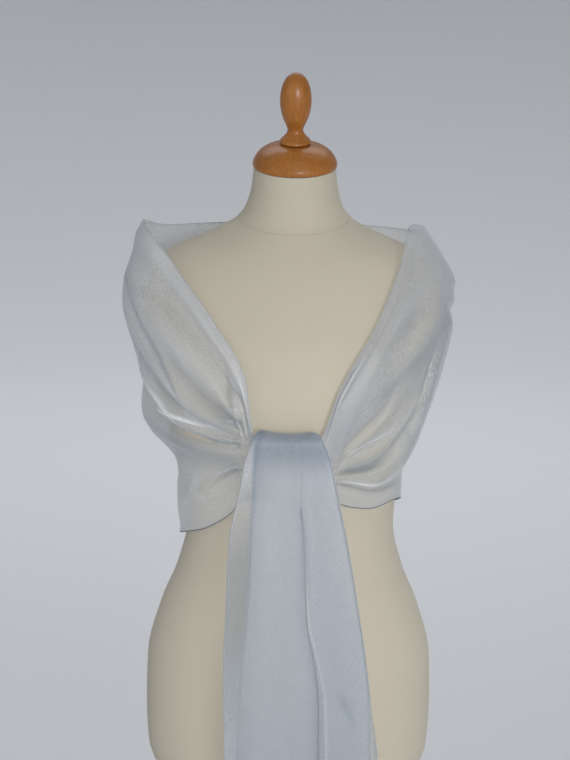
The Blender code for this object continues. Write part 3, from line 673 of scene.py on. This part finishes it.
# The weave's threads, slubs and glints, worked out in metres along and across the cloth.
organza_threads = bpy.data.node_groups.new("organza_threads", "ShaderNodeTree")
for socket_name, kind in (("Color", "NodeSocketColor"), ("Glint", "NodeSocketFloat"),
                          ("Roughness", "NodeSocketFloat"), ("Cover", "NodeSocketFloat"),
                          ("Normal", "NodeSocketVector")):
    organza_threads.interface.new_socket(socket_name, in_out="OUTPUT", socket_type=kind)
organza_threads.interface.new_socket("Deep Color", in_out="INPUT", socket_type="NodeSocketColor")
organza_threads.interface.new_socket("Sparkle", in_out="INPUT", socket_type="NodeSocketFloat")
tree = organza_threads
threads_in = node(tree, "NodeGroupInput").outputs
threads_out = node(tree, "NodeGroupOutput").inputs
cloth_place = node(tree, "ShaderNodeUVMap", uv_map="cloth").outputs["UV"]
warp, weft = (node(tree, "ShaderNodeTexWave", {"Vector": cloth_place, "Scale": 500.0, "Distortion": 0.6},
                   bands_direction=way).outputs["Fac"] for way in "XY")
crossed = maths(tree, "MAXIMUM", warp, weft)
glints = node(tree, "ShaderNodeTexNoise",
              {"Vector": cloth_place, "Scale": 560.0, "Detail": 1.0}).outputs["Fac"]
slub_place = node(tree, "ShaderNodeMapping", {"Vector": cloth_place, "Scale": (1.0, 1.2, 1.0)}).outputs[0]
slubs = node(tree, "ShaderNodeTexNoise", {"Vector": slub_place, "Scale": 60.0, "Detail": 3.0}).outputs["Fac"]
glint = ranged(tree, glints, 0.38, 0.62)
shine = ranged(tree, glints, 0.46, 0.66, 0.0, 0.35)
rough = ranged(tree, glints, 0.3, 0.7, 0.58, 0.44)
slub_cover = ranged(tree, slubs, 0.3, 0.7, 0.97, 1.03)
layers = node(tree, "ShaderNodeAttribute", attribute_name="layers").outputs["Fac"]
cover = maths(tree, "MULTIPLY", slub_cover, layers)
# The tail's layered tone and the shade painted into folds and troughs turn the colour toward the shade colour
# and dull the shine.
deep = node(tree, "ShaderNodeAttribute", attribute_name="deep").outputs["Fac"]
dull = maths(tree, "MULTIPLY_ADD", deep, -0.9, 1.0)
shine = maths(tree, "MULTIPLY", shine, dull)
relief = maths(tree, "MULTIPLY_ADD", crossed, 0.2, glints)
thread_bump = node(tree, "ShaderNodeBump", {"Height": relief, "Strength": 0.2, "Distance": 0.0003})
# The glints speckle the colour lighter: partly the threads' own uneven tone, partly painted glints.
silver = mixed(tree, glint, (0.635, 0.65, 0.673), (0.815, 0.82, 0.828))
silver_blue = mixed(tree, deep, silver, threads_in["Deep Color"])
# Where the threads lie closest the colour goes toward white: partly the paler look of many layers, partly a
# painted highlight on the fold crests.
layered_white_and_highlight = ranged(tree, layers, 1.9, MOST_LAYERS, 0.0, 0.9)
silver_blue = mixed(tree, layered_white_and_highlight, silver_blue, (0.93, 0.94, 0.96))
# Single threads are painted near white in patches, as painted glints, wherever the cloth lies. They
# also hide more, and fade where shade is painted.
patches = node(tree, "ShaderNodeTexNoise", {"Vector": cloth_place, "Scale": 17.0, "Detail": 2.0})
in_a_patch = ranged(tree, patches.outputs["Fac"], 0.42, 0.66)
bright_thread = ranged(tree, glints, 0.52, 0.70)
painted_glints = maths(tree, "MULTIPLY", in_a_patch, bright_thread)
painted_glints = maths(tree, "MULTIPLY", painted_glints, threads_in["Sparkle"])
painted_glints = maths(tree, "MULTIPLY", painted_glints, dull)
silver_blue = mixed(tree, painted_glints, silver_blue, (1.0, 1.0, 1.0))
cover = maths(tree, "MULTIPLY_ADD", painted_glints, 0.7, cover)
for socket_name, source in (("Color", silver_blue), ("Glint", shine), ("Roughness", rough), ("Cover", cover),
                            ("Normal", thread_bump.outputs["Normal"])):
    tree.links.new(source, threads_out[socket_name])

sheer = organza("sheer_organza", 0.26, (0.293, 0.331, 0.378), 0.42)

half_stations = stepped(0.0, (1, 22), (2, 26), (3, 24), (4, 24), (5, 16), (BACK_STATION, 22))
stations = np.concatenate([half_stations, 2 * BACK_STATION - half_stations[-2::-1]])
TURNED_COLUMNS = 16
OPEN_COLUMNS = 144
down = np.concatenate([np.linspace(-1, -0.1, TURNED_COLUMNS - 3), [-0.06, -0.03, -0.01],
                       np.linspace(0, 1, OPEN_COLUMNS)])
wrap_rows = np.array([across_the_cloth("left", station, down) if station <= BACK_STATION
                      else across_the_cloth("right", 2 * BACK_STATION - station, down)
                      for station in stations])
wrap_points = wrap_rows[..., :3]
wrap_shape = laid_out(wrap_points, stations * STATION_LENGTH, down * WORN_WIDTH,
                      layers=wrap_rows[..., 3], deep=wrap_rows[..., 4])
bmesh.ops.reverse_faces(wrap_shape, faces=wrap_shape.faces[:])
wrap = piece("shawl_wrap", wrap_shape, sheer)
wall = wrap.modifiers.new("wall", "SOLIDIFY")
wall.thickness, wall.offset = CLOTH_THICKNESS, 0.0
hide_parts("shawl_wing_left", "shawl_back", "shawl_wing_right")

# A fine rolled hem runs along both long edges, sewn with dark thread below and a paler one above.
HEM_RADIUS = 0.0006
FINE_HEM_RADIUS = 0.0004


def thread(name, dark, light):
    """Sewing thread, wound close over a rolled edge."""
    made, tree, shader = surface(name)
    twist = node(tree, "ShaderNodeTexNoise", {"Scale": 900.0, "Detail": 1.0})
    dress(tree, shader, Base_Color=mixed(tree, twist.outputs["Fac"], dark, light), Roughness=0.6)
    return made


hem_thread = thread("hem_thread", (0.13, 0.15, 0.19), (0.22, 0.25, 0.30))
pale_thread = thread("pale_thread", (0.42, 0.45, 0.49), (0.52, 0.55, 0.59))
lower_hem = cord_round("lower_hem", wrap_points[:, -1], HEM_RADIUS, hem_thread)
upper_hem = cord_round("upper_hem", wrap_points[:, TURNED_COLUMNS], FINE_HEM_RADIUS, pale_thread)

# The tail is the other end of the same cloth, pulled through at the front. It rolls over the
# gathered ends and hangs, folded lengthwise. These are its front's edges, the trough beside its
# left edge and the pleat near its middle, across at each height, and how far the layer behind
# shows past its right edge. Loose says how much further apart its layers hang than in the roll.
# Out says how far its front bulges, in mm, and pleat how much of the pleat's depth has opened.
TAIL = table(
    "height left trough crease right peek loose out pleat",
    (0.585, -0.0750, -0.0620, 0.0400, 0.1010, 0.0130, 2.2, 0.0, 1.00),
    (0.775, -0.0743, -0.0603, 0.0370, 0.0968, 0.0090, 2.0, 0.0, 1.00),
    (0.850, -0.0757, -0.0574, 0.0355, 0.0935, 0.0020, 1.9, 0.2, 0.90),
    (0.900, -0.0760, -0.0543, 0.0290, 0.0880, 0.0010, 1.8, 0.3, 0.65),
    (0.950, -0.0735, -0.0499, 0.0189, 0.0802, 0.0010, 1.7, 0.5, 0.45),
    (1.000, -0.0718, -0.0473, 0.0159, 0.0718, 0.0010, 1.6, 0.8, 0.30),
    (1.050, -0.0691, -0.0462, 0.0136, 0.0621, 0.0015, 1.5, 1.2, 0.15),
    (1.100, -0.0590, -0.0434, 0.0091, 0.0517, 0.0010, 1.3, 1.2, 0.05),
    (1.135, -0.0530, -0.0426, 0.0084, 0.0445, 0.0006, 1.1, -1.0, 0.0),
    (1.157, -0.0470, -0.0400, 0.0050, 0.0365, 0.0003, 1.0, 0.6, 0.0),
    (1.168, -0.0400, -0.0350, 0.0000, 0.0290, 0.0000, 1.0, 0.0, 0.0),
)
# Across one layer of the tail, from the right end of the back layer round the left fold, over the
# front, through the pleat and round the right fold to the end of the inner flap. Each point has
# what it is measured from, how far to the right of that in mm, how much further where the pleat
# is open, how far behind the middle of the layers in mm, and its part in the folds' relief in mm.
TAIL_LAYERS = (
    ("right", 0.0, 0.0, 2.6, 0.0), ("crease", 6.0, 0.0, 2.7, 0.2), ("crease", -12.0, 0.0, 2.7, -0.3),
    ("trough", 12.0, 0.0, 2.7, 0.2), ("trough", -1.0, 0.0, 2.5, 0.0), ("left", 3.4, 0.0, 2.3, 0.0),
    ("left", 1.0, 0.0, 1.5, 0.0), ("left", 0.0, 0.0, 0.0, 0.0), ("left", 0.9, 0.0, -1.6, 0.0),
    ("left", 3.0, 0.0, -2.4, -0.1), ("left", 6.0, 0.0, -2.7, 0.3), ("trough", -1.0, 0.0, -2.8, 2.0),
    ("trough", 3.0, 0.0, -2.8, 1.0), ("trough", 13.0, 0.0, -2.8, -0.6), ("middle", 0.0, 0.0, -2.8, -0.5),
    ("crease", -9.0, 0.0, -2.8, 0.3), ("crease", -2.0, 0.0, -2.8, 1.3), ("crease", -0.4, 7.0, -2.8, 1.5),
    ("crease", 0.8, 7.4, -2.8, 1.1), ("crease", 1.8, -1.8, -2.8, 0.3), ("crease", 2.8, -3.7, -2.8, -0.3),
    ("crease", 4.5, 0.0, -2.8, -1.0), ("crease", 14.0, 0.0, -2.8, -0.6), ("right", -12.0, 0.0, -2.8, -0.2),
    ("right", -4.0, 0.0, -2.6, 0.0), ("right", -1.0, 0.0, -1.9, 0.0), ("right", 0.0, 0.0, -0.9, 0.0),
    ("right", -1.0, 0.0, 0.1, 0.0), ("right", -4.0, 0.0, 0.5, 0.0), ("right", -12.0, 0.0, 0.4, 0.0),
    ("crease", -4.0, 0.0, 0.3, 0.0),
)
SLANTED_CREASE = ((0.053, 0.870), (0.079, 0.819))
SLANTED_WIDTH = 0.0030
SLANTED_DEPTH = 0.0024
FRONT_ONLY = -0.001
ROLL_RADIUS = 0.0115
HALF_TURN = math.pi * ROLL_RADIUS
ROLL_CENTRE = (-0.1400, 1.1575)
ROLL_HALF_WIDTH = 0.034
ROLL_SAG = 0.004
INNER_LEG = 0.010
INNER_NARROWING = 0.28
NARROWING_FROM = 0.25
RELIEF_LENGTH = 0.035
FAINT_CREASE = 0.15


def rounded(knots, values, place):
    """A curve through the values at the knots, as round as their spacing allows."""
    return curve_through(knots, values, np.gradient(values, knots), place)


def tail_path(length):
    """Depth, height and which way is back, at a length up the front from the roll, or over it."""
    y, z = ROLL_CENTRE
    if length < 0:
        return y - ROLL_RADIUS, z + length, 1.0, 0.0
    if length < HALF_TURN:
        cos, sin = math.cos(length / ROLL_RADIUS), math.sin(length / ROLL_RADIUS)
        return y - ROLL_RADIUS * cos, z + ROLL_RADIUS * sin, cos, -sin
    return y + ROLL_RADIUS, z + HALF_TURN - length, -1.0, 0.0


def slanted_crease(across, height):
    """How much of the slanted crease low on the tail is at a place on its front."""
    (x1, z1), (x2, z2) = SLANTED_CREASE
    along = ((across - x1) * (x2 - x1) + (height - z1) * (z2 - z1)) / ((x2 - x1) ** 2 + (z2 - z1) ** 2)
    aside = np.hypot(across - x1 - along * (x2 - x1), height - z1 - along * (z2 - z1)) / SLANTED_WIDTH
    return np.exp(-aside ** 2) * np.sin(math.pi * np.clip(along, 0, 1))


def tail_section(length, points):
    """Points across all the layers of the tail at a length along its path."""
    depth, height, back_y, back_z = tail_path(length)
    up_the_roll = np.clip(2 * length / HALF_TURN, 0, 1)
    at = min(height, ROLL_CENTRE[1]) + up_the_roll * (TAIL["height"][-1] - ROLL_CENTRE[1])
    row = {name: smooth(TAIL["height"], column, at) for name, column in TAIL.items()}
    row["middle"] = (row["trough"] + row["crease"]) / 2
    across = np.array([row[name] + (right + opened * row["pleat"]) / 1000
                       for name, right, opened, _, _ in TAIL_LAYERS])
    across[0] += row["peek"]
    across *= 1 - INNER_NARROWING * np.clip(length / HALF_TURN - NARROWING_FROM, 0, 1)
    behind = np.array([layer for _, _, _, layer, _ in TAIL_LAYERS])
    relief = np.array([relief for *_, relief in TAIL_LAYERS]) * np.clip(-length / RELIEF_LENGTH, 0, 1)
    by_pleat = np.array([name == "crease" for name, *_ in TAIL_LAYERS])
    relief[by_pleat] *= min(1.0, FAINT_CREASE + 2 * row["pleat"])
    in_front = np.clip(-behind / 2, 0, 1)
    behind = ((behind + relief) * row["loose"] - in_front * row["out"]) / 1000
    way = np.concatenate([[0], np.cumsum(np.hypot(np.diff(across), np.diff(behind)))])
    place = np.interp(np.linspace(0, len(way) - 1, points), np.arange(len(way)), way)
    x, back = rounded(way, across, place), rounded(way, behind, place)
    slant = SLANTED_DEPTH * slanted_crease(x, height) * (back < FRONT_ONLY)
    sag = ROLL_SAG * (1 - np.clip(x / ROLL_HALF_WIDTH, -1, 1) ** 2) * max(0.0, -back_z)
    return np.stack([x, depth + (back + slant) * back_y, height + back * back_z - sag], axis=-1)


# The tail's own tone where it lies in many layers, and how much painted shade the parts of its
# front add to it: under the roll, in the trough, beside the pleat, in the wedge, in the strip and in
# the slanted crease. Below 0 they are painted highlights, on the pale top, the pale fold edge and the
# left edge. The lower part is painted darker towards the bottom.
TAIL_DEEP = 0.48
DEEPER = {
    "under_roll": 0.36, "lower": 0.14, "pale_top": -0.45, "trough": 0.26, "by_pleat": 0.12, "wedge": 0.42,
    "pale_edge": -0.40, "left_edge": -0.40, "strip": 0.30, "slanted_crease": 0.25,
}
# Parts that come in with height, each from the height where it starts to the one where it is full.
# The strip lies left of the trough. Its pale top and the strip itself come in and go out again.
COMES_IN = {
    "strip": (1.15, 1.08), "strip_end": (0.80, 0.94), "pale_top": (1.02, 1.08), "pale_top_end": (1.165, 1.15),
    "lower": (1.05, 0.70), "trough": (0.95, 1.10), "by_pleat": (1.00, 0.80),
}
# Parts that lie along a fold's line, each with how far to the right of the line and how wide.
ALONG = {
    "left_edge": (0.0010, 0.0014), "trough": (0.0010, 0.0030), "by_pleat": (-0.0010, 0.0110),
    "pale_edge": (0.0, 0.0016), "wedge": (0.0005, 0.0012),
}
STRIP_EDGE = 0.007
STRIP_SHEERER = 0.65
UNDER_ROLL = 1.155
UNDER_ROLL_FADE = 0.026
PLEAT_WIDTH = 0.0078
WEDGE_TOP = 1.096
WEDGE_LENGTH = 0.135
WEDGE_WIDENS = 0.004
PALE_EDGE_TOP = 1.16
PALE_EDGE_FADE = 0.3


def beside(name, x, line, wider=0.0):
    """How much of the named part there is at x, beside its line."""
    right, width = ALONG[name]
    return np.exp(-((x - line - right) / (width + wider)) ** 2)


def tail_looks(points):
    """The layers of the tail's points, and their tone with painted shade and painted highlights.
    The strip left of the trough is sheerer and painted darker, and the wedge is painted shade where
    the pleat starts to open."""
    x, _, z = points.reshape(-1, 3).T
    row = {name: smooth(TAIL["height"], column, z) for name, column in TAIL.items()}
    full = {name: np.clip((z - start) / (end - start), 0, 1) for name, (start, end) in COMES_IN.items()}
    left_of_trough = 1 - np.clip((x - row["trough"]) / STRIP_EDGE + 0.5, 0, 1)
    strip = left_of_trough * full["strip"] * full["strip_end"]
    left_edge = beside("left_edge", x, row["left"]) * full["strip"]
    layers = 1 - STRIP_SHEERER * strip + left_edge
    fold_edge = row["crease"] + PLEAT_WIDTH * row["pleat"]
    left_of_pleat = x < fold_edge + ALONG["by_pleat"][0]
    down_the_wedge = (WEDGE_TOP - z) / WEDGE_LENGTH
    wedge = beside("wedge", x, row["crease"], WEDGE_WIDENS * np.clip(down_the_wedge, 0, 1)) \
        * np.clip(8 * down_the_wedge, 0, 1) * np.clip(1 - down_the_wedge, 0, 1)
    shows = np.clip((PALE_EDGE_TOP - z) / PALE_EDGE_FADE, 0.1, 0.7) * (1 - wedge)
    # Painted shade and painted highlights on the tail's front, and its darker lower part.
    parts = {
        "under_roll": np.exp(-(np.minimum(z - UNDER_ROLL, 0) / UNDER_ROLL_FADE) ** 2),
        "lower": full["lower"],
        "pale_top": left_of_trough * full["pale_top"] * full["pale_top_end"],
        "trough": beside("trough", x, row["trough"]) * full["trough"],
        "by_pleat": beside("by_pleat", x, fold_edge) * left_of_pleat * full["by_pleat"],
        "wedge": wedge,
        "pale_edge": beside("pale_edge", x, fold_edge) * shows,
        "left_edge": left_edge,
        "strip": strip,
        "slanted_crease": slanted_crease(x, z),
    }
    deep = TAIL_DEEP + sum(DEEPER[name] * part for name, part in parts.items())
    return layers.reshape(points.shape[:2]), np.clip(deep, 0, 1).reshape(points.shape[:2])


folded = organza("folded_organza", 0.42, (0.272, 0.333, 0.412), 0.08)
TAIL_COLUMNS = 230
drop = ROLL_CENTRE[1] - TAIL["height"][0]
lengths = stepped(-drop, (-0.2, 60), (0.0, 46), (HALF_TURN, 26), (HALF_TURN + INNER_LEG, 5))
tail_points = np.array([tail_section(length, TAIL_COLUMNS) for length in lengths])
tail_layers, tail_tone_and_shade = tail_looks(tail_points)
tail_widths = np.linalg.norm(np.diff(tail_points[len(lengths) // 3], axis=0), axis=1)
tail_shape = laid_out(tail_points, lengths, np.concatenate([[0], np.cumsum(tail_widths)]), layers=tail_layers,
                      deep=tail_tone_and_shade)
tail = piece("shawl_tail_cloth", tail_shape, folded)
wall = tail.modifiers.new("wall", "SOLIDIFY")
wall.thickness, wall.offset = CLOTH_THICKNESS, 0.0
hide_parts("shawl_tail")

# The same rolled hem runs round the tail: up the edge of its back layer, up the edge of its inner
# flap, and across its end.
tail_hems = [cord_round("tail_back_hem", tail_points[:, 0], FINE_HEM_RADIUS, pale_thread),
             cord_round("tail_flap_hem", tail_points[:, -1], FINE_HEM_RADIUS, pale_thread),
             cord_round("tail_end_hem", tail_points[0], HEM_RADIUS, hem_thread)]
